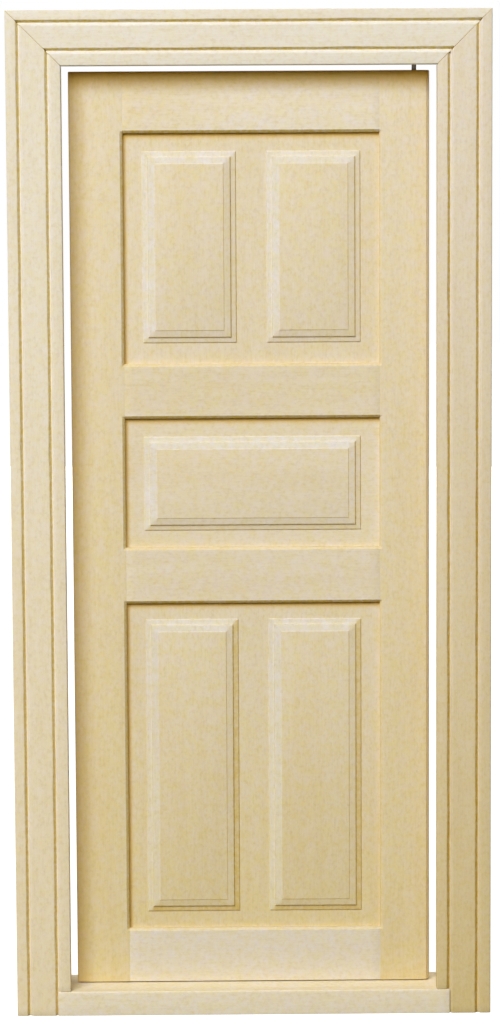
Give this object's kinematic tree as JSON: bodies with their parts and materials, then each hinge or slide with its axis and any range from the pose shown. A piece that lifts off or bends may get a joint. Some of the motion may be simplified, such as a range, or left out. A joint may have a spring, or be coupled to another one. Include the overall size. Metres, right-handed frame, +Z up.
{
  "type": "miniature interior door with frame",
  "caption": "Bare wood raised-panel door leaf, hung on two pins in a jamb box with mitred flat casing on its front and a threshold, for a model house.",
  "frame": {"origin": "middle of the foot of the whole frame, on the surface it stands on", "axes": "+Z up, the cased front faces -Y, and the hinge side is at +X"},
  "size_m": [0.0922, 0.012, 0.1937],
  "materials": {
    "frame_wood": "bare sanded basswood",
    "leaf_wood": "bare sanded basswood",
    "pin_steel": "dull drawn wire"
  },
  "bodies": {
    "frame": {"casing_left_leg": "frame_wood", "casing_right_leg": "frame_wood", "casing_head": "frame_wood", "jamb_left": "frame_wood", "jamb_right": "frame_wood", "head_jamb": "frame_wood", "threshold": "frame_wood"},
    "leaf": {"latch_stile": "leaf_wood", "hinge_stile": "leaf_wood", "top_rail": "leaf_wood", "upper_rail": "leaf_wood", "lock_rail": "leaf_wood", "bottom_rail": "leaf_wood", "upper_panel": "leaf_wood", "middle_panel": "leaf_wood", "lower_panel": "leaf_wood", "top_hinge_pin": "pin_steel", "bottom_hinge_pin": "pin_steel"}
  },
  "joints": [
    {"name": "leaf_swing", "type": "hinge", "parent": "frame", "child": "leaf", "pos_m": [0.0316, 0.0012, 0.09], "axis": [0, 0, 1], "range_deg": [-110, 100]}
  ]
}
